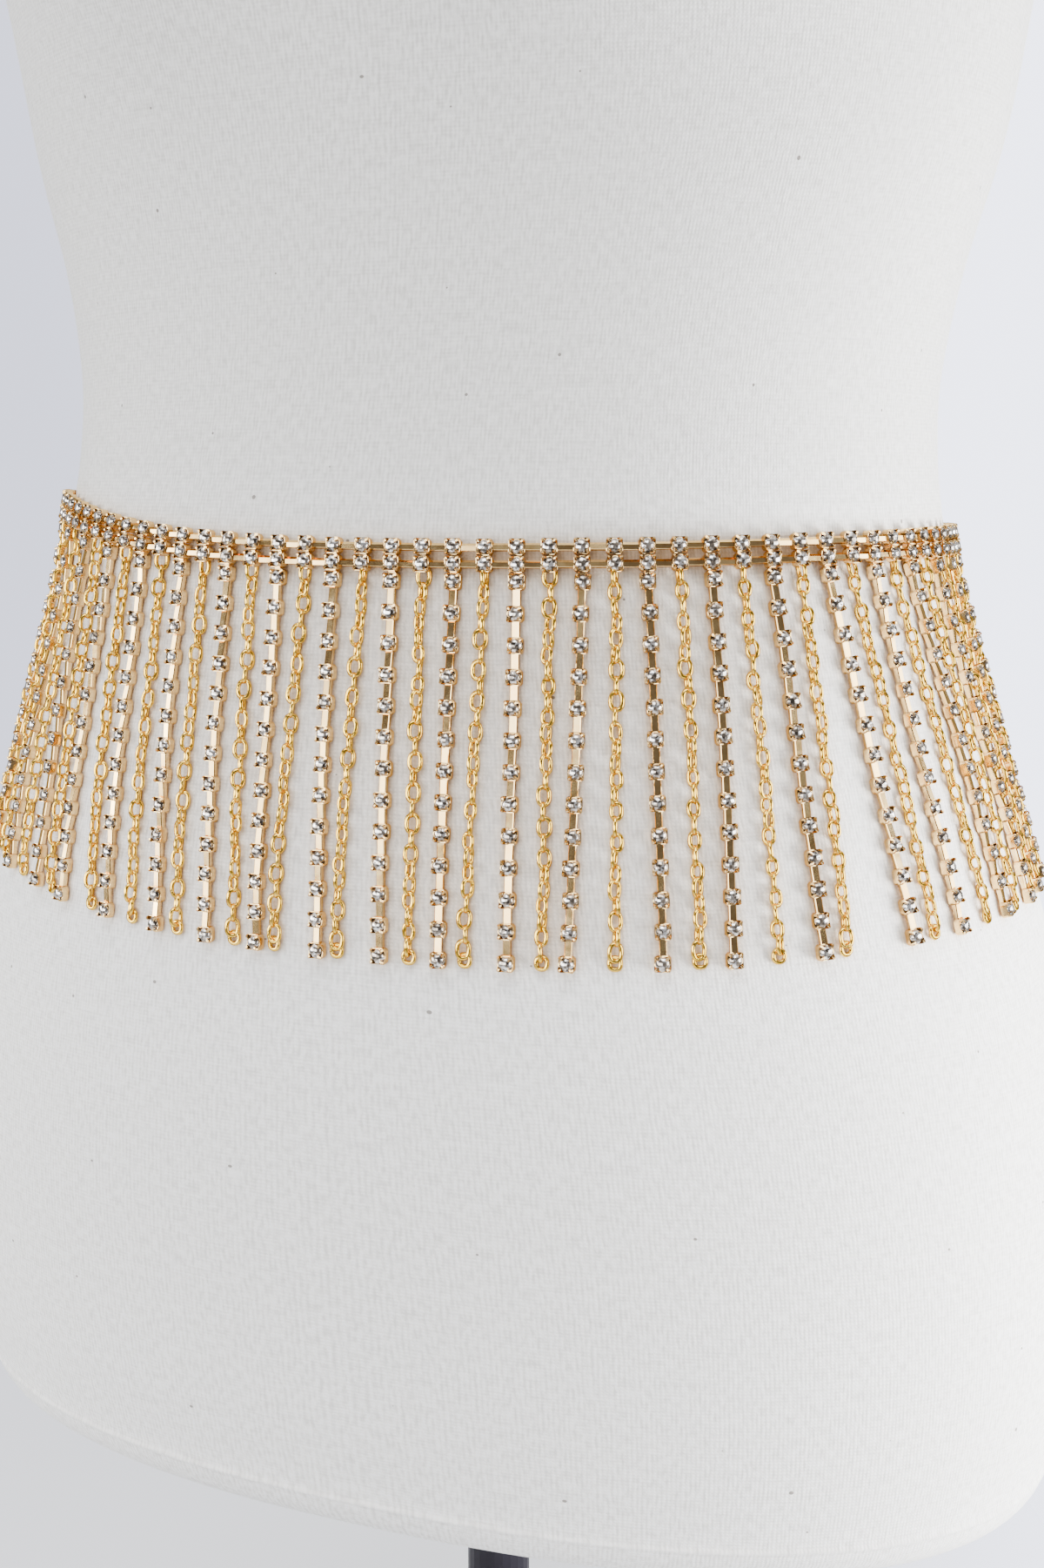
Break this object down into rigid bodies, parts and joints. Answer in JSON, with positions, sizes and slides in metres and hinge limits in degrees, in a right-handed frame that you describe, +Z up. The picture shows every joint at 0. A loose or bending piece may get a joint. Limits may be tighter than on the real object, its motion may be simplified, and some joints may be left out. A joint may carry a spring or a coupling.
{
  "type": "rhinestone fringe belt on limbless dress form",
  "caption": "Gold rhinestone waist belt with a hanging fringe of cup chain and link chain, worn on a white limbless dress form with a short black pole and round base.",
  "frame": {"origin": "on the floor at the middle of the base plate's underside, below the pole", "axes": "+Z up; the form's front faces -Y; +X is to the right as seen from the front"},
  "size_m": [0.37, 0.37, 0.92],
  "materials": {
    "form_cover": "fine off-white linen weave, matt",
    "stand_black": "black gloss paint",
    "gold": "bright light gold plate",
    "rhinestone": "clear foil-backed cut stones"
  },
  "bodies": {
    "root": {"dress_form": "form_cover", "pole": "stand_black", "base_plate": "stand_black", "band_top_row": "gold", "band_fringe": "gold", "end_bar_left": "gold", "end_bar_right": "gold", "clasp_tongue": "gold", "clasp_box": "gold"}
  },
  "joints": []
}
